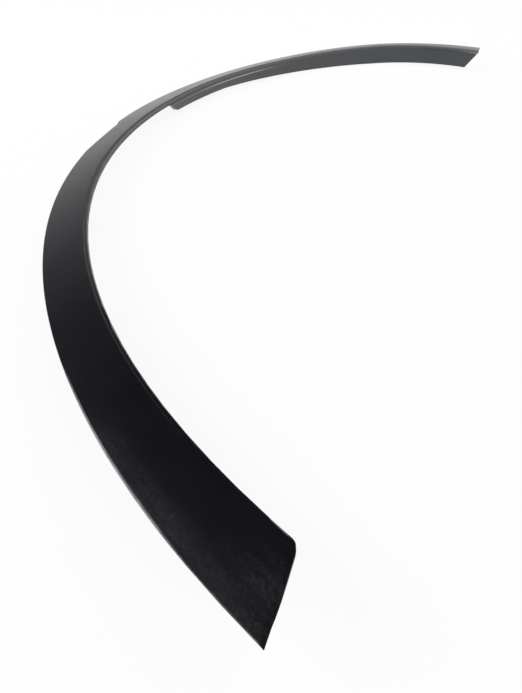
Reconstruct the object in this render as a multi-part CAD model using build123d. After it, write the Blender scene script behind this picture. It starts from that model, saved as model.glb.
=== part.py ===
"""Wheel arch trim: one moulded strip with a show face, rolled nose, return flange and clip seats.

All sizes are in millimetres. The strip lies show face up. X runs along the straight line between
the two ends, Y points to the crown of the arch, Z is up. A station is the direction, in degrees
from X, in which the arch faces outwards: 90 is the crown. The strip is drawn level and then leans
a little onto the seat next to the crown, as it comes to rest.
"""
import os
from math import cos, radians, sin, sqrt

from build123d import *

# Arch line: the inner edge of the show face, seen from above
MAIN_R = 420.0          # long arc over the near leg and the crown
CORNER_R = 132.0        # tight arc of the far leg
MAIN_CENTRE = (35.0, -158.0)
JOIN = 46.5             # station where the tight arc takes over
NEAR_RUN = 166.0        # stations that lie past both end cuts
FAR_RUN = -42.0
MAIN_SECTIONS = 11
CORNER_SECTIONS = 7
PAST = 80.0             # cutters and blanks run this far past the strip

# Section across the strip
WALL = 2.5              # moulded thickness
NOSE_R = 3.0            # rolled inner edge
NOSE_ARCS = 3           # the roll is drawn in this many equal arcs
NOSE_Z = 19.5           # height of the arch line above the floor
FACE_R = 320.0          # slight bulge of the face
EDGE_R = 0.45           # rounded outer edge
RIM = 1.1               # the wall thins to this at the outer edge
TILT_NEAR = 6.0         # fall of the face towards its outer edge, in degrees
TILT_CROWN = 12.0
TILT_SHOULDER = 6.3
TILT_FAR = 0.5
NEAR_END = 158.0        # stations those tilts belong to
CROWN = 78.0
SHOULDER = 50.0
FAR_END = -20.0

# Outer edge of the face, as distance out from the arch line
NEAR_W = 25.85
BEND_W = 22.3
CROWN_W = 20.6
FAR_W = 21.9
BEND = 133.0            # station of the bend
NOTCH_START = 108.0     # shallow notch in the edge, cut square at the tab
NOTCH_END = 99.3
NOTCH_W = 18.2
TAB_START = 97.8        # tab that stands out past the notch and runs back into the edge
TAB_END = 84.0
TAB_W = 22.2

# Ends
NEAR_CUT = -0.05        # the near end runs this far past the line of the far end at its nose
NEAR_TIP_CUT = -1.3     # and this far past it at its outer tip
NEAR_CORNER_R = 6.0     # rounded nose corner seen from above
END_WALL_DROP = 4.6     # the near end wall hangs this far below the arch line at the nose
END_WALL_TIP = 0.9      # and this far below the face where it runs out
END_WALL_SHY = 3.0      # it runs out this far short of the outer edge
END_WALL_SUNK = 0.6     # it starts this far below the face, inside its thickness
END_ROUND = 2.6         # rounding of the face into the end wall, which tucks back under it
END_LEANS = (15.0, 30.0, 45.0, 60.0, 75.0, 90.0, 110.0)
RAKE = 12.8             # the flange ends lean back this far at the floor
FAR_RAKE_TOP = 18.2     # height where they start to lean
NEAR_RAKE_TOP = 14.0

# Lower edge of the return flange, as (x, height) seen from the front
LIP = 3.3               # what is left of the flange over the crown, below the arch line
FLANGE_FULL_X = 335.0
FLANGE_HIGH_X = 130.0
FLANGE_HIGH = 9.0
FLANGE_STOP_X = 40.0
LIP_FAR_X = 31.0
LIP_NEAR_X = -240.0
NEAR_FLANGE_X = -262.0
RUNOUT_R = 5.0

# Ledge where the flange stands proud of the nose on the far side of the crown
LEDGE_START = 92.0
LEDGE_FULL = 76.0
LEDGE_END = 56.0
LEDGE = 1.7
LEDGE_DROP = 3.3
LEDGE_CHAMFER = 1.2

# Clip seats moulded on the back
SEAT_STATIONS = (152.0, 137.0, 121.0, 76.0, 56.0, 8.0)
SEAT_OUT = 8.6          # middle of the seat from the arch line
SEAT_L = 18.0
SEAT_W = 13.0
SEAT_H = 9.0
SEAT_WALL = 1.6
SEAT_PLATE = 2.2
SLOT_W = 7.0            # open slot that takes the neck of a push clip

# Lean towards the crown when it lies on both flange ends and the seat next to the crown
REST_TILT = 2.31


def outward(station):
    """Unit vector in which the arch faces at a station."""
    return Vector(cos(radians(station)), sin(radians(station)), 0)


def arch_point(station, out=0.0, z=0.0):
    """Point beside the arch line, a distance out from it and at a height."""
    step = max(station, JOIN)
    line = Vector(*MAIN_CENTRE, z) + outward(step) * MAIN_R
    return line + (outward(station) - outward(step)) * CORNER_R + outward(station) * out


def at_station(station, marks):
    """Value at a station, in straight steps between (station, value) marks."""
    for (low, low_value), (high, high_value) in zip(marks, marks[1:]):
        if station <= high:
            break
    return low_value + (high_value - low_value) * (station - low) / (high - low)


def tilt(station):
    """Fall of the show face towards its outer edge at a station, in degrees."""
    return at_station(station, (
        (FAR_END, TILT_FAR), (SHOULDER, TILT_SHOULDER), (CROWN, TILT_CROWN), (NEAR_END, TILT_NEAR),
    ))


def face_width(station):
    """Distance from the arch line to the outer edge at a station."""
    return at_station(station, (
        (FAR_END, FAR_W), (TAB_END, FAR_W), (TAB_START, TAB_W),
        (NOTCH_START, CROWN_W), (BEND, BEND_W), (NEAR_END, NEAR_W),
    ))


def spread(start, stop, count):
    """Evenly spaced angles from start to stop."""
    return [start + (stop - start) * i / (count - 1) for i in range(count)]


def section_plane(station):
    """Plane across the strip, its own X pointing out and its Y up."""
    out = outward(station)
    return Plane(arch_point(station, z=NOSE_Z), x_dir=out, z_dir=out.cross(Vector(0, 0, 1)))


def face_lines(station):
    """Unit vectors along the face towards its outer edge and down into its thickness."""
    fall = radians(tilt(station))
    return Vector(cos(fall), -sin(fall)), Vector(-sin(fall), -cos(fall))


def strip_section(station):
    """Outline of the face, rolled nose and flange at a station."""
    along, inward = face_lines(station)
    edge = along * face_width(station)
    shoulder = edge - along * EDGE_R
    rim_top = edge + inward * EDGE_R
    rim_foot = edge + inward * RIM
    edge_turn = (along - inward).normalized()
    bulge = inward * (shoulder.length ** 2 / (8 * FACE_R))
    middle = inward * NOSE_R
    foot = middle.X - NOSE_R
    arc = 90 + tilt(station)
    turns = spread(180, 180 - arc, 2 * NOSE_ARCS + 1)
    roll = [middle + outward(turn) * NOSE_R for turn in turns]
    outline = [
        ThreePointArc((0, 0), shoulder / 2 - bulge, shoulder),
        ThreePointArc(shoulder, shoulder + (inward + edge_turn) * EDGE_R, rim_top),
        Line(rim_top, rim_foot),
        Line(rim_foot, inward * WALL),
        Line(inward * WALL, (foot + WALL, middle.Y)),
        Line((foot + WALL, middle.Y), (foot + WALL, -NOSE_Z)),
        Line((foot + WALL, -NOSE_Z), (foot, -NOSE_Z)),
        Line((foot, -NOSE_Z), roll[0]),
    ]
    outline += [ThreePointArc(*roll[i:i + 3]) for i in range(0, 2 * NOSE_ARCS, 2)]
    return section_plane(station) * Wire(outline)


def wall_section(station):
    """Outline of the near end wall, from inside the face's thickness down to the wall's edge."""
    along, inward = face_lines(station)
    tip = along * (face_width(station) - END_WALL_SHY)
    nose = Vector(-NOSE_R, -NOSE_R)
    corners = [
        nose, inward * END_WALL_SUNK, tip + inward * END_WALL_SUNK, tip + inward * END_WALL_TIP,
        (nose.X, -END_WALL_DROP),
    ]
    return section_plane(station) * Wire(Polyline(*corners, close=True))


def rake_bar(top):
    """Bar along X that cuts a flange end back, from the end line at its top to the rake at the floor."""
    corners = ((0, top), (RAKE, 0), (RAKE, -WALL), (-RAKE, -WALL), (-RAKE, top))
    return extrude(Plane.YZ * make_face(Polyline(*corners, close=True)), MAIN_R, both=True)


# Blank strip, longer and wider than the finished one
stations = spread(NEAR_RUN, JOIN, MAIN_SECTIONS) + spread(JOIN, FAR_RUN, CORNER_SECTIONS)[1:]
blank = Solid.make_loft([strip_section(s) for s in stations])

# Outline seen from above: the far end cut along X, the near one nearly so with its nose corner rounded
corner_centre = arch_point(JOIN, -CORNER_R)
near_drop = NEAR_CUT - MAIN_CENTRE[1]
near_nose = Vector(MAIN_CENTRE[0] - sqrt((MAIN_R - NOSE_R) ** 2 - near_drop ** 2), NEAR_CUT)
near_tip = Vector(MAIN_CENTRE[0] - sqrt((MAIN_R + NEAR_W) ** 2 - near_drop ** 2), NEAR_TIP_CUT)
past_tip = near_tip + (near_tip - near_nose).normalized() * PAST
far_nose = Vector(corner_centre.X + sqrt((CORNER_R - 2 * NOSE_R) ** 2 - corner_centre.Y ** 2), 0)
up_leg = near_nose + outward(NEAR_END - 90) * 2 * NEAR_CORNER_R
opening = Vector(0, 2 * NEAR_W)
plan = make_face(Polyline(
    near_nose, past_tip, (past_tip.X, MAIN_R), (far_nose.X + PAST, MAIN_R),
    far_nose + (PAST, 0), far_nose, opening, up_leg, close=True,
))
plan = fillet(plan.vertices().sort_by_distance(near_nose)[0], NEAR_CORNER_R)
outline = extrude(plan, PAST, dir=(0, 0, 1))

# Shallow notch in the outer edge, cut square where the tab stands out
notch = make_face(Polyline(
    arch_point(NOTCH_START, CROWN_W), arch_point(NOTCH_END, NOTCH_W), arch_point(TAB_START, TAB_W),
    arch_point(TAB_START, PAST), arch_point(NOTCH_START, PAST), close=True,
))
trimmed = (blank & outline) - extrude(notch, PAST, dir=(0, 0, 1))

# Wall that closes the near end behind the face
wall_stations = (NEAR_RUN, NEAR_END, 2 * NEAR_END - NEAR_RUN)
near_core = Solid.make_loft([wall_section(s) for s in wall_stations])
end_plane = Plane(near_nose, x_dir=near_nose - near_tip, z_dir=(0, 0, 1))
end_slab = end_plane * Pos(0, WALL / 2, 0) * Box(PAST, WALL, PAST)
end_wall = near_core & outline & end_slab

# Ledge on the far side of the crown, where the flange stands proud of the nose
face_in = -NOSE_R * (1 + sin(radians(TILT_CROWN)))
back = face_in + WALL / 2
ledge_root = arch_point(LEDGE_START, face_in - LEDGE)
ledge_tip = arch_point(LEDGE_END, face_in + WALL / 4)
back_root = arch_point(LEDGE_START, back)
back_tip = arch_point(LEDGE_END, back)
ledge_plan = make_face(Wire([
    ThreePointArc(ledge_root, arch_point(LEDGE_FULL, face_in - LEDGE), ledge_tip),
    Line(ledge_tip, back_tip),
    ThreePointArc(back_tip, arch_point(LEDGE_FULL, back), back_root),
    Line(back_root, ledge_root),
]))
ledge = extrude(ledge_plan, NOSE_Z - LEDGE_DROP, dir=(0, 0, 1))
ledge_top = ledge.edges().group_by(Axis.Z)[-1].filter_by(GeomType.CIRCLE)
ledge = chamfer(ledge_top.sort_by_distance(Vector(*MAIN_CENTRE))[0], LEDGE_CHAMFER)

# Lower edge of the flange: full at both ends, sloping up to the crown, only a lip over the crown
lip_z = NOSE_Z - LIP
gap = make_face(Polyline(
    (FLANGE_FULL_X, 0), (FLANGE_HIGH_X, FLANGE_HIGH), (FLANGE_STOP_X, FLANGE_HIGH), (LIP_FAR_X, lip_z),
    (LIP_NEAR_X, lip_z), (NEAR_FLANGE_X, 0), (NEAR_FLANGE_X, -WALL), (FLANGE_FULL_X, -WALL), close=True,
))
gap = fillet(gap.vertices().filter_by_position(Axis.Y, WALL, NOSE_Z), RUNOUT_R)
ring = Cylinder(MAIN_R + WALL / 2, PAST) - Cylinder(MAIN_R - 4 * NOSE_R, PAST)
ring = Pos(*MAIN_CENTRE, 0) * ring
gap_cut = extrude(Plane.XZ * gap, 2 * MAIN_R, both=True) & ring

# Both ends of the flange, raked back towards the floor
far_rake = rake_bar(FAR_RAKE_TOP) & Pos(corner_centre) * Cylinder(CORNER_R, PAST)
near_rake = rake_bar(NEAR_RAKE_TOP) & ring

strip = trimmed + ledge - gap_cut - far_rake - near_rake + end_wall

# Round the face over into the near end, in flat cuts that all touch one radius
nose_top = near_nose + Vector(0, 0, NOSE_Z)
tip_top = near_tip + Vector(0, 0, NOSE_Z - NEAR_W * sin(radians(TILT_NEAR)))
end_edge = (tip_top - nose_top).normalized()
up_the_leg = end_edge.cross(Vector(0, 0, 1)).normalized()
above = up_the_leg.cross(end_edge)
round_middle = nose_top + (up_the_leg - above) * END_ROUND
for lean in END_LEANS:
    away = above * cos(radians(lean)) - up_the_leg * sin(radians(lean))
    cut_plane = Plane(round_middle + away * END_ROUND, x_dir=end_edge, z_dir=away)
    strip -= cut_plane * Box(PAST, PAST, PAST, align=(Align.CENTER, Align.CENTER, Align.MIN))


def clip_seat(station):
    """Seat for a push clip: a box open along the strip, its plate slotted from the open end."""
    fall = radians(tilt(station))
    out = outward(station)
    down = out * -sin(fall) - Vector(0, 0, cos(fall))
    along = out * cos(fall) - Vector(0, 0, sin(fall))
    start = arch_point(station, z=NOSE_Z) + along * SEAT_OUT + down * (WALL / 2)
    place = Plane(start, x_dir=down.cross(along), z_dir=down)
    sunk = WALL / 2
    room = SEAT_H - SEAT_PLATE
    grow = (Align.CENTER, Align.CENTER, Align.MIN)
    seat = Box(SEAT_L, SEAT_W, sunk + SEAT_H, align=grow)
    seat -= Pos(SEAT_WALL, 0, sunk) * Box(SEAT_L, SEAT_W - 2 * SEAT_WALL, room, align=grow)
    slot = Cylinder(SLOT_W / 2, SEAT_H, align=grow)
    slot += Pos(SEAT_L / 2, 0, 0) * Box(SEAT_L, SLOT_W, SEAT_H, align=grow)
    return place * (seat - Pos(0, 0, sunk + room) * slot)


for station in SEAT_STATIONS:
    strip += clip_seat(station)

# Lean it as it comes to rest and put the middle of its edges' box over the origin, on the floor
resting = Rot(X=-REST_TILT) * strip.solids()[0]
box = Compound(resting.edges()).bounding_box()
arch_trim = Pos(-box.center().X, -box.center().Y, -box.min.Z) * resting
arch_trim.label = "arch_trim"

os.makedirs("parts", exist_ok=True)
export_step(arch_trim, "parts/arch_trim.step")
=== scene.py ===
import logging
import math
from dataclasses import dataclass
from enum import Enum

import bpy
from mathutils import Matrix, Vector


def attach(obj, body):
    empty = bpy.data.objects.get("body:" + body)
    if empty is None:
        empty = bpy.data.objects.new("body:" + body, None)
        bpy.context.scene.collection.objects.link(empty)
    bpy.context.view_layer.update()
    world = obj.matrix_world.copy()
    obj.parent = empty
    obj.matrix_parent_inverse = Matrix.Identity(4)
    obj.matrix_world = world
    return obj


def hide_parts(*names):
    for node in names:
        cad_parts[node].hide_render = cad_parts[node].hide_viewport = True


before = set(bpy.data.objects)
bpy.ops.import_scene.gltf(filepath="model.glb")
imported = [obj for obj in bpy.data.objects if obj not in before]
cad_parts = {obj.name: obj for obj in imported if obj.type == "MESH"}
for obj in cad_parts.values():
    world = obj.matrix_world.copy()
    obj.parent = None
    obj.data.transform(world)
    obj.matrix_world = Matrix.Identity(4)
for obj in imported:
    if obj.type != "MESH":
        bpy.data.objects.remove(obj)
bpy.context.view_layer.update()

LOG = logging.getLogger("wheel_arch_trim")
PHOTO_SIZE = (522, 693)
MM_PER_METRE = 1000.0
NOISE_MIDDLE = 0.5

Colour = tuple[float, float, float]
Point = tuple[float, float, float]
Span = tuple[float, float]
Number = float | int

WHITE: Colour = (1.0, 1.0, 1.0)


class Wave(Enum):
    """Base pattern that a mask is drawn from."""

    CLOUD = "ShaderNodeTexNoise"
    CELL = "ShaderNodeTexVoronoi"


class Signal:
    """A socket of a node sheet that takes part in Python sums."""

    def __init__(self, sheet: "NodeSheet", socket: bpy.types.NodeSocket) -> None:
        """Keep the sheet and the socket."""
        self.sheet = sheet
        self.socket = socket

    def _sum(self, operation: str, first: "Signal | Number", second: "Signal | Number") -> "Signal":
        """Add a Math node.

        Args:
            operation: the Math node's operation.
            first: first value.
            second: second value.

        Returns:
            The node's result.
        """
        return self.sheet.add("ShaderNodeMath", {"operation": operation}, {0: first, 1: second})[0]

    def __add__(self, other: "Signal | Number") -> "Signal":
        """Sum."""
        return self._sum("ADD", self, other)

    def __radd__(self, other: Number) -> "Signal":
        """Sum with a number on the left."""
        return self._sum("ADD", other, self)

    def __sub__(self, other: "Signal | Number") -> "Signal":
        """Difference."""
        return self._sum("SUBTRACT", self, other)

    def __rsub__(self, other: Number) -> "Signal":
        """Difference from a number on the left."""
        return self._sum("SUBTRACT", other, self)

    def __mul__(self, other: "Signal | Number") -> "Signal":
        """Product."""
        return self._sum("MULTIPLY", self, other)

    def __rmul__(self, other: Number) -> "Signal":
        """Product with a number on the left."""
        return self._sum("MULTIPLY", other, self)

    def __pow__(self, other: Number) -> "Signal":
        """Power."""
        return self._sum("POWER", self, other)

    def larger(self, other: "Signal | Number") -> "Signal":
        """The larger of two values."""
        return self._sum("MAXIMUM", self, other)

    def angle_from(self, other: "Signal") -> "Signal":
        """Angle of the direction (other, self), in radians."""
        return self._sum("ARCTAN2", self, other)

    def rise(self, low: Number, high: Number) -> "Signal":
        """Smooth step from 0 to 1.

        Args:
            low: value where the step leaves 0.
            high: value where it reaches 1; below low, the step falls.

        Returns:
            The step.
        """
        start, end = (low, high) if low < high else (high, low)
        to_min, to_max = (0.0, 1.0) if low < high else (1.0, 0.0)
        settings = {"interpolation_type": "SMOOTHSTEP"}
        inputs = {"Value": self, "From Min": start, "From Max": end, "To Min": to_min, "To Max": to_max}
        return self.sheet.add("ShaderNodeMapRange", settings, inputs)["Result"]

    def between(self, low: Number, high: Number, soft: Number) -> "Signal":
        """Band that is 1 between two values and fades over a soft margin outside them.

        Args:
            low: start of the band.
            high: end of the band.
            soft: width of the fade.

        Returns:
            The band.
        """
        return self.rise(low - soft, low) * self.rise(high + soft, high)


class NodeSheet:
    """A node tree that is filled from Python."""

    def __init__(self, tree: bpy.types.NodeTree) -> None:
        """Empty the tree and keep it."""
        self.tree = tree
        self.tree.nodes.clear()

    def add(self, kind: str, settings: dict | None = None, inputs: dict | None = None) -> "NodeOutputs":
        """Add a node, set it up and wire it.

        Args:
            kind: the node's type.
            settings: its own properties.
            inputs: values or signals for its sockets, by name or number.

        Returns:
            The node's outputs.
        """
        node = self.tree.nodes.new(kind)
        for name, value in (settings or {}).items():
            setattr(node, name, value)
        for key, value in (inputs or {}).items():
            socket = node.inputs[key]
            if isinstance(value, Signal):
                self.tree.links.new(value.socket, socket)
            elif isinstance(value, tuple) and len(value) == 3 and socket.type == "RGBA":
                socket.default_value = (*value, 1.0)
            else:
                socket.default_value = value
        return NodeOutputs(self, node)

    def mix(self, share: Signal, low: "Signal | Colour", high: Colour) -> Signal:
        """Lay one colour over another.

        Args:
            share: how much of the second colour shows.
            low: first colour.
            high: second colour.

        Returns:
            The colour.
        """
        return self.add("ShaderNodeMix", {"data_type": "RGBA"}, {0: share, 6: low, 7: high})[2]

    def noise(self, place: Signal, scale: float, detail: float) -> Signal:
        """Cloud noise from 0 to 1.

        Args:
            place: coordinates that it is read at.
            scale: how fine it is.
            detail: how many finer layers it has.

        Returns:
            The noise.
        """
        inputs = {"Vector": place, "Scale": scale, "Detail": detail}
        return self.add(Wave.CLOUD.value, None, inputs)["Fac"]

    def end(self, shader: Signal) -> None:
        """Wire a shader to the output of the material."""
        self.add("ShaderNodeOutputMaterial", None, {"Surface": shader})


class NodeOutputs:
    """The outputs of one node, found by name or number."""

    def __init__(self, sheet: NodeSheet, node: bpy.types.Node) -> None:
        """Keep the sheet and the node."""
        self.sheet = sheet
        self.node = node

    def __getitem__(self, key: str | int) -> Signal:
        """One output as a signal."""
        return Signal(self.sheet, self.node.outputs[key])


def new_material(name: str) -> tuple[bpy.types.Material, NodeSheet]:
    """Make a material.

    Args:
        name: the material's name.

    Returns:
        The material and its empty node sheet.
    """
    material = bpy.data.materials.new(name)
    material.use_nodes = True
    return material, NodeSheet(material.node_tree)


@dataclass(frozen=True)
class Spot:
    """A place on the strip.

    The station is its bearing from the middle of the arch in degrees, out is its distance outwards
    from the arch line and height its distance above the base of the strip, both in millimetres.
    """

    station: Signal
    out: Signal
    height: Signal


@dataclass(frozen=True)
class ArchLine:
    """The long arc of the arch and the leaning base of the strip, in metres and degrees."""

    centre_x: float = 0.03231
    centre_y: float = -0.29995
    radius: float = 0.420
    lean: float = 2.31
    base_y: float = -0.14195
    base_z: float = 0.00555

    def spot(self, sheet: NodeSheet, place: Signal) -> Spot:
        """Place on the strip.

        Args:
            sheet: the node sheet.
            place: object coordinates.

        Returns:
            The spot.
        """
        parts = sheet.add("ShaderNodeSeparateXYZ", None, {0: place})
        x = parts["X"] - self.centre_x
        y = parts["Y"] - self.centre_y
        lean = math.radians(self.lean)
        up = (parts["Z"] - self.base_z) * math.cos(lean) + (parts["Y"] - self.base_y) * math.sin(lean)
        return Spot(
            station=y.angle_from(x) * math.degrees(1.0),
            out=((x * x + y * y) ** 0.5 - self.radius) * MM_PER_METRE,
            height=up * MM_PER_METRE,
        )


@dataclass(frozen=True)
class Layer:
    """What lies on the plastic, or a highlight painted on it: its colour and how much rougher it makes the
    surface.
    """

    colour: Colour
    roughness: float

    def share(self, sheet: NodeSheet, place: Signal, spot: Spot) -> Signal:
        """Share of the surface that the layer covers.

        Args:
            sheet: the node sheet.
            place: object coordinates.
            spot: place on the strip.

        Returns:
            The share, from 0 to 1.
        """
        raise NotImplementedError


@dataclass(frozen=True)
class DustFilm(Layer):
    """A thin mottled film of dust on the outer side and the tip of the near leg, in streaks along it."""

    colour: Colour = (0.16, 0.165, 0.17)
    roughness: float = 0.25
    streaks_along: float = 0.35
    streaks_across: float = 0.30
    streak_scale: float = 1.0
    streak_detail: float = 5.0
    streak_step: Span = (0.2, 0.85)
    mottle_scale: float = 800.0
    mottle_detail: float = 2.0
    mottle_step: Span = (0.4, 0.7)
    side_stations: Span = (143.0, 151.0)
    side_out: Span = (12.0, 25.0)
    tip_stations: Span = (154.0, 159.5)
    tip_out: Span = (1.0, 12.0)
    even_share: float = 0.012
    streak_share: float = 0.05
    mottle_share: float = 0.11

    def share(self, sheet: NodeSheet, place: Signal, spot: Spot) -> Signal:
        """Share of the surface that dust covers; arguments and result as in Layer."""
        along, across = spot.station * self.streaks_along, spot.out * self.streaks_across
        flow = sheet.add("ShaderNodeCombineXYZ", None, {"X": along, "Y": across})["Vector"]
        film = sheet.noise(flow, self.streak_scale, self.streak_detail).rise(*self.streak_step)
        mottle = sheet.noise(place, self.mottle_scale, self.mottle_detail).rise(*self.mottle_step)
        side = spot.station.rise(*self.side_stations) * spot.out.rise(*self.side_out)
        tip = spot.station.rise(*self.tip_stations) * spot.out.rise(*self.tip_out)
        cover = self.even_share + self.streak_share * film + self.mottle_share * film * mottle
        return side.larger(tip) * cover


@dataclass(frozen=True)
class Specks(Layer):
    """Small pale specks, few and far between."""

    colour: Colour = (0.42, 0.43, 0.44)
    roughness: float = 0.3
    scale: float = 130.0
    rim: Span = (0.05, 0.02)
    chosen: Span = (0.84, 1.0)
    cover: float = 0.14

    def share(self, sheet: NodeSheet, place: Signal, spot: Spot) -> Signal:
        """Share of the surface that specks cover; arguments and result as in Layer."""
        cells = sheet.add(Wave.CELL.value, None, {"Vector": place, "Scale": self.scale})
        pick = sheet.add("ShaderNodeSeparateColor", None, {0: cells["Color"]})["Red"]
        return cells["Distance"].rise(*self.rim) * pick.rise(*self.chosen) * self.cover


@dataclass(frozen=True)
class PaintedEdgeHighlights(Layer):
    """Painted highlights: pale lines along the ledge, the near leg's outer edge and its nose corner."""

    # Pale colour of the painted highlight along the edges
    colour: Colour = (0.26, 0.265, 0.27)
    roughness: float = 0.15
    patch_scale: float = 160.0
    patch_detail: float = 3.0
    patch_step: Span = (0.3, 0.6)
    least: float = 0.6
    ledge_out: Span = (-3.8, -4.2)
    ledge_height: Span = (15.0, 16.4)
    ledge_soft: float = 0.2
    ledge_far: Span = (56.0, 64.0)
    ledge_crown: Span = (88.0, 70.0)
    edge_width: float = 22.3
    edge_width_station: float = 133.0
    edge_growth: float = 0.142
    edge_step: Span = (-0.75, -0.45)
    edge_stations: Span = (145.0, 151.0)
    edge_soft: float = 4.0
    edge_share: float = 0.8
    corner_out: Span = (-2.1, -0.9)
    corner_out_soft: float = 0.4
    corner_height: Span = (15.0, 18.2)
    corner_height_soft: float = 0.6
    corner_stations: Span = (157.45, 157.6)
    corner_share: float = 0.5

    def share(self, sheet: NodeSheet, place: Signal, spot: Spot) -> Signal:
        """Share of the surface that carries the painted highlight; arguments and result as in Layer."""
        patches = sheet.noise(place, self.patch_scale, self.patch_detail).rise(*self.patch_step)
        patchy = self.least + (1.0 - self.least) * patches
        # Painted highlight where any of the three edge masks is set, made patchy by noise
        return self._ledge(spot).larger(self._edge(spot)).larger(self._corner(spot)) * patchy

    def _ledge(self, spot: Spot) -> Signal:
        """Painted highlight along the ledge on the far side of the crown."""
        ledge = spot.out.rise(*self.ledge_out) * spot.height.between(*self.ledge_height, self.ledge_soft)
        return ledge * spot.station.rise(*self.ledge_crown) * spot.station.rise(*self.ledge_far)

    def _edge(self, spot: Spot) -> Signal:
        """Painted highlight along the near leg's outer edge."""
        width = self.edge_width + (spot.station - self.edge_width_station) * self.edge_growth
        rim = (spot.out - width).rise(*self.edge_step)
        return rim * spot.station.between(*self.edge_stations, self.edge_soft) * self.edge_share

    def _corner(self, spot: Spot) -> Signal:
        """Painted highlight on the nose corner of the near end."""
        corner = spot.out.between(*self.corner_out, self.corner_out_soft)
        corner = corner * spot.height.between(*self.corner_height, self.corner_height_soft)
        return corner * spot.station.rise(*self.corner_stations) * self.corner_share


@dataclass(frozen=True)
class SatinPlastic:
    """Satin black moulded plastic with a fine grain, a patchy sheen, what lies on it and painted highlights
    along some edges.
    """

    colour: Colour = (0.0026, 0.0028, 0.0048)
    pale_colour: Colour = (0.00416, 0.00448, 0.00768)
    pale_step: Span = (0.35, 0.75)
    pale_share: float = 0.5
    ior: float = 1.8
    sheen_tint: Colour = (0.93, 0.965, 1.0)
    roughness: float = 0.27
    roughness_drift: float = 0.05
    drift_scale: float = 22.0
    drift_detail: float = 4.0
    grain_scale: float = 2600.0
    grain_detail: float = 3.0
    grain_depth: float = 0.00002
    grain_strength: float = 0.35
    arch: ArchLine = ArchLine()
    # Dust and specks lie on the plastic; the last layer is a painted highlight along edges
    layers: tuple[Layer, ...] = (DustFilm(), Specks(), PaintedEdgeHighlights())

    def make(self, name: str) -> bpy.types.Material:
        """Build the material.

        Args:
            name: the material's name.

        Returns:
            The material.
        """
        material, sheet = new_material(name)
        place = sheet.add("ShaderNodeTexCoord")["Object"]
        spot = self.arch.spot(sheet, place)
        drift = sheet.noise(place, self.drift_scale, self.drift_detail)
        colour = sheet.mix(drift.rise(*self.pale_step) * self.pale_share, self.colour, self.pale_colour)
        roughness = self.roughness + self.roughness_drift * (drift - NOISE_MIDDLE)
        for layer in self.layers:
            share = layer.share(sheet, place, spot)
            colour = sheet.mix(share, colour, layer.colour)
            roughness = roughness + layer.roughness * share
        grain = sheet.noise(place, self.grain_scale, self.grain_detail)
        bump = sheet.add("ShaderNodeBump", None, {
            "Strength": self.grain_strength, "Distance": self.grain_depth, "Height": grain,
        })
        shader = sheet.add("ShaderNodeBsdfPrincipled", None, {
            "Base Color": colour, "Roughness": roughness, "Normal": bump["Normal"],
            "IOR": self.ior, "Specular Tint": self.sheen_tint,
        })
        sheet.end(shader["BSDF"])
        return material


@dataclass
class ArchTrim:
    """The trim: one moulded strip."""

    node: str = "arch_trim"
    body: str = "root"
    finish: SatinPlastic = SatinPlastic()
    merge_distance: float = 0.000002
    crease: float = 32.0

    def build(self) -> bpy.types.Object:
        """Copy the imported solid, merge its loose triangles and shade its curves smoothly.

        Returns:
            The smooth strip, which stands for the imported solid.
        """
        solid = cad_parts[self.node]
        strip = bpy.data.objects.new("trim_strip", solid.data.copy())
        bpy.context.scene.collection.objects.link(strip)
        bpy.ops.object.select_all(action="DESELECT")
        strip.select_set(True)
        bpy.context.view_layer.objects.active = strip
        bpy.ops.object.mode_set(mode="EDIT")
        bpy.ops.mesh.select_all(action="SELECT")
        bpy.ops.mesh.customdata_custom_splitnormals_clear()
        bpy.ops.mesh.remove_doubles(threshold=self.merge_distance)
        bpy.ops.object.mode_set(mode="OBJECT")
        bpy.ops.object.shade_smooth_by_angle(angle=math.radians(self.crease))
        weighted = strip.modifiers.new("even_gloss", "WEIGHTED_NORMAL")
        weighted.keep_sharp = True
        weighted.mode = "FACE_AREA_WITH_ANGLE"
        bpy.ops.object.modifier_apply(modifier=weighted.name)
        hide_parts(self.node)
        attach(strip, self.body)
        return strip

    def dress(self) -> bpy.types.Object:
        """Build the strip and give it its finish.

        Returns:
            The strip.
        """
        strip = self.build()
        strip.data.materials.clear()
        strip.data.materials.append(self.finish.make("trim_plastic"))
        return strip


@dataclass(frozen=True)
class Lamp:
    """A square soft lamp."""

    name: str
    place: Point
    aim: Point
    size: float
    watts: float
    spread: float = 180.0

    def hang(self) -> None:
        """Hang the lamp and turn it to its aim."""
        data = bpy.data.lights.new(self.name, "AREA")
        data.energy = self.watts
        data.size = self.size
        data.spread = math.radians(self.spread)
        lamp = bpy.data.objects.new(self.name, data)
        lamp.location = self.place
        beam = Vector(self.aim) - Vector(self.place)
        lamp.rotation_euler = beam.to_track_quat("-Z", "Y").to_euler()
        bpy.context.scene.collection.objects.link(lamp)


@dataclass(frozen=True)
class Patch:
    """A round patch of the light tent, dark or bright, with a soft edge; angles in degrees."""

    heading: float
    height: float
    full_to: float
    clear_from: float
    level: float

    def over(self, sheet: NodeSheet, look: Signal, room: "Signal | Number") -> Signal:
        """Lay the patch over the tent.

        Args:
            sheet: the world's node sheet.
            look: direction of the ray.
            room: level of the tent without the patch.

        Returns:
            Level of the tent with it.
        """
        heading, height = math.radians(self.heading), math.radians(self.height)
        flat = math.cos(height)
        middle = (flat * math.cos(heading), flat * math.sin(heading), math.sin(height))
        settings = {"operation": "DOT_PRODUCT"}
        near = sheet.add("ShaderNodeVectorMath", settings, {0: look, 1: middle})["Value"]
        clear, full = math.cos(math.radians(self.clear_from)), math.cos(math.radians(self.full_to))
        return room + (self.level - room) * near.rise(clear, full)


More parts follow.
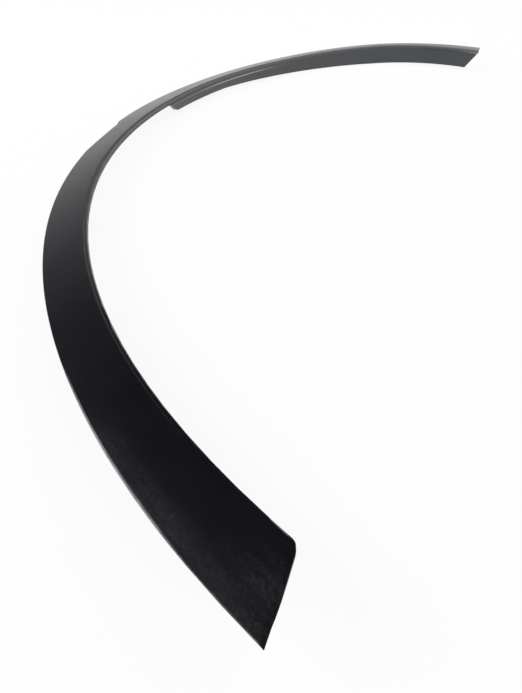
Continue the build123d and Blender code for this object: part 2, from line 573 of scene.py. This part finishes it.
def add_gloss_plane(name: str, place: Vector, sides: Span, turn: Point, finish: bpy.types.Material) -> None:
    """Add a plane to the studio that only the gloss sees.

    Args:
        name: the plane's name.
        place: its middle.
        sides: its length and width.
        turn: its rotation, in radians.
        finish: its material.
    """
    bpy.ops.object.select_all(action="DESELECT")
    bpy.ops.mesh.primitive_plane_add(size=1.0, location=place, rotation=turn)
    plane = bpy.context.active_object
    plane.name = name
    plane.scale = (*sides, 1.0)
    plane.data.materials.append(finish)
    plane.visible_camera = False
    plane.visible_diffuse = False
    plane.visible_shadow = False


@dataclass(frozen=True)
class BlackCard:
    """A black card that stands on the floor beside the part; one that fades is clear at its far end."""

    name: str
    start: Span
    stop: Span
    height: float
    fades: bool = False
    colour: Colour = (0.02, 0.02, 0.02)
    fade: Span = (0.0, 0.5)

    def stand(self) -> None:
        """Stand the card on the floor."""
        begin, end = Vector((*self.start, 0.0)), Vector((*self.stop, 0.0))
        side = end - begin
        place = (begin + end) / 2.0 + Vector((0.0, 0.0, self.height / 2.0))
        turn = (math.pi / 2.0, 0.0, math.atan2(side.y, side.x))
        add_gloss_plane(self.name, place, (side.length, self.height), turn, self._finish())

    def _finish(self) -> bpy.types.Material:
        """Matt black, which thins out along the last half of a card that fades.

        Returns:
            The material.
        """
        material, sheet = new_material(self.name)
        surface = sheet.add("ShaderNodeBsdfDiffuse", None, {"Color": self.colour})["BSDF"]
        if self.fades:
            place = sheet.add("ShaderNodeTexCoord")["Object"]
            along = sheet.add("ShaderNodeSeparateXYZ", None, {0: place})["X"]
            clear = sheet.add("ShaderNodeBsdfTransparent")["BSDF"]
            inputs = {0: along.rise(*self.fade), 1: surface, 2: clear}
            surface = sheet.add("ShaderNodeMixShader", None, inputs)["Shader"]
        sheet.end(surface)
        return material


@dataclass(frozen=True)
class PalePanel:
    """A pale panel that lies level above the part."""

    name: str
    place: Point
    length: float
    width: float
    level: float

    def hang(self) -> None:
        """Hang the panel."""
        material, sheet = new_material(self.name)
        glow = sheet.add("ShaderNodeEmission", None, {"Color": WHITE, "Strength": self.level})
        sheet.end(glow["Emission"])
        add_gloss_plane(self.name, Vector(self.place), (self.length, self.width), (0.0, 0.0, 0.0), material)


@dataclass(frozen=True)
class PhotoCamera:
    """The camera, placed as the photograph was taken; metres and degrees."""

    place: Point = (-0.43224, -0.15513, 0.17212)
    heading: float = 20.137
    pitch: float = 41.551
    roll: float = 2.449
    focal_pixels: float = 520.0
    near_clip: float = 0.01

    def set_up(self) -> None:
        """Set up the camera and look through it."""
        heading, pitch, roll = (math.radians(angle) for angle in (self.heading, self.pitch, self.roll))
        flat = math.cos(pitch)
        ahead = Vector((flat * math.cos(heading), flat * math.sin(heading), -math.sin(pitch)))
        level = Vector((math.sin(heading), -math.cos(heading), 0.0))
        over = level.cross(ahead)
        right = level * math.cos(roll) + over * math.sin(roll)
        up = over * math.cos(roll) - level * math.sin(roll)
        data = bpy.data.cameras.new("photo_camera")
        data.lens = self.focal_pixels / max(PHOTO_SIZE) * data.sensor_width
        data.clip_start = self.near_clip
        camera = bpy.data.objects.new("photo_camera", data)
        axes = Matrix((right, up, -ahead)).transposed().to_4x4()
        camera.matrix_world = Matrix.Translation(self.place) @ axes
        bpy.context.scene.collection.objects.link(camera)
        bpy.context.scene.camera = camera


@dataclass
class Studio:
    """Pale floor, soft light and the camera."""

    floor_side: float = 8.0
    floor_colour: Colour = (0.94, 0.94, 0.94)
    shadow_share: float = 0.1
    tent: float = 1.06
    # The first patch is the dark that the near leg's face mirrors
    patches: tuple[Patch, ...] = (
        Patch(heading=75.0, height=62.0, full_to=30.0, clear_from=68.0, level=0.0),
        Patch(heading=14.0, height=18.0, full_to=7.0, clear_from=15.0, level=0.35),
        Patch(heading=-22.0, height=60.0, full_to=5.0, clear_from=16.0, level=1.15),
        Patch(heading=-150.0, height=64.0, full_to=10.0, clear_from=26.0, level=1.25),
        Patch(heading=140.0, height=56.0, full_to=10.0, clear_from=28.0, level=0.8),
    )
    # Beyond the near end, then along the inner side of the near leg and round the bend
    cards: tuple[BlackCard, ...] = (
        BlackCard("card_end", start=(-0.420, -0.165), stop=(-0.3295, -0.168), height=0.32),
        BlackCard("card_leg", start=(-0.3295, -0.168), stop=(-0.2711, -0.063), height=0.22),
        BlackCard("card_bend", start=(-0.2711, -0.063), stop=(-0.050, 0.1036), height=0.105, fades=True),
    )
    # Above the far end, whose nose mirrors it
    panel: PalePanel = PalePanel(
        "panel_far", place=(0.365, -0.075, 0.125), length=0.165, width=0.21, level=1.2)
    lamps: tuple[Lamp, ...] = (
        Lamp("lamp_far", place=(0.72, -0.15, 0.62), aim=(0.72, -0.15, 0.0),
             size=1.0, watts=1.2, spread=150.0),
        Lamp("lamp_near", place=(-0.7, 1.6, 1.0), aim=(-0.2, 0.0, 0.0), size=0.9, watts=22.0),
    )
    camera: PhotoCamera = PhotoCamera()

    def build(self) -> None:
        """Make the floor, the light and the camera."""
        self._floor()
        self._sky()
        for card in self.cards:
            card.stand()
            LOG.info("%s stands", card.name)
        self.panel.hang()
        LOG.info("%s hung", self.panel.name)
        for lamp in self.lamps:
            lamp.hang()
            LOG.info("%s hung", lamp.name)
        self.camera.set_up()
        bpy.context.scene.view_settings.view_transform = "Standard"

    def _floor(self) -> None:
        """Lay the floor."""
        bpy.ops.object.select_all(action="DESELECT")
        bpy.ops.mesh.primitive_plane_add(size=self.floor_side, location=(0.0, 0.0, 0.0))
        floor = bpy.context.active_object
        floor.name = "floor"
        floor.data.materials.append(self._floor_finish())

    def _floor_finish(self) -> bpy.types.Material:
        """Matt pale floor that shows white and keeps a faint shadow.

        Returns:
            The material.
        """
        material, sheet = new_material("pale_floor")
        matt = sheet.add("ShaderNodeBsdfDiffuse", None, {"Color": self.floor_colour})["BSDF"]
        white = sheet.add("ShaderNodeEmission", None, {"Color": WHITE, "Strength": 1.0})["Emission"]
        share = self._seen(sheet) * (1.0 - self.shadow_share)
        mixed = sheet.add("ShaderNodeMixShader", None, {0: share, 1: matt, 2: white})
        sheet.end(mixed["Shader"])
        return material

    @staticmethod
    def _seen(sheet: NodeSheet) -> Signal:
        """1 for rays that show the background: camera, glossy and transmission rays."""
        path = sheet.add("ShaderNodeLightPath")
        return path["Is Camera Ray"].larger(path["Is Glossy Ray"]).larger(path["Is Transmission Ray"])

    def _sky(self) -> None:
        """Light the room with a white tent with dark and bright patches; the camera sees white."""
        world = bpy.data.worlds.new("studio")
        bpy.context.scene.world = world
        world.use_nodes = True
        sheet = NodeSheet(world.node_tree)
        path = sheet.add("ShaderNodeLightPath")
        look = sheet.add("ShaderNodeTexCoord")["Generated"]
        room = self.tent
        for patch in self.patches:
            room = patch.over(sheet, look, room)
        level = room + (1.0 - room) * path["Is Camera Ray"]
        light = sheet.add("ShaderNodeBackground", None, {"Color": WHITE, "Strength": level})
        sheet.add("ShaderNodeOutputWorld", None, {"Surface": light["Background"]})


def main() -> None:
    """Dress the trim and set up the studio."""
    logging.basicConfig(level=logging.INFO, format="%(message)s")
    strip = ArchTrim().dress()
    LOG.info("%s dressed, %d faces", strip.name, len(strip.data.polygons))
    Studio().build()


if __name__ == "__main__":
    main()
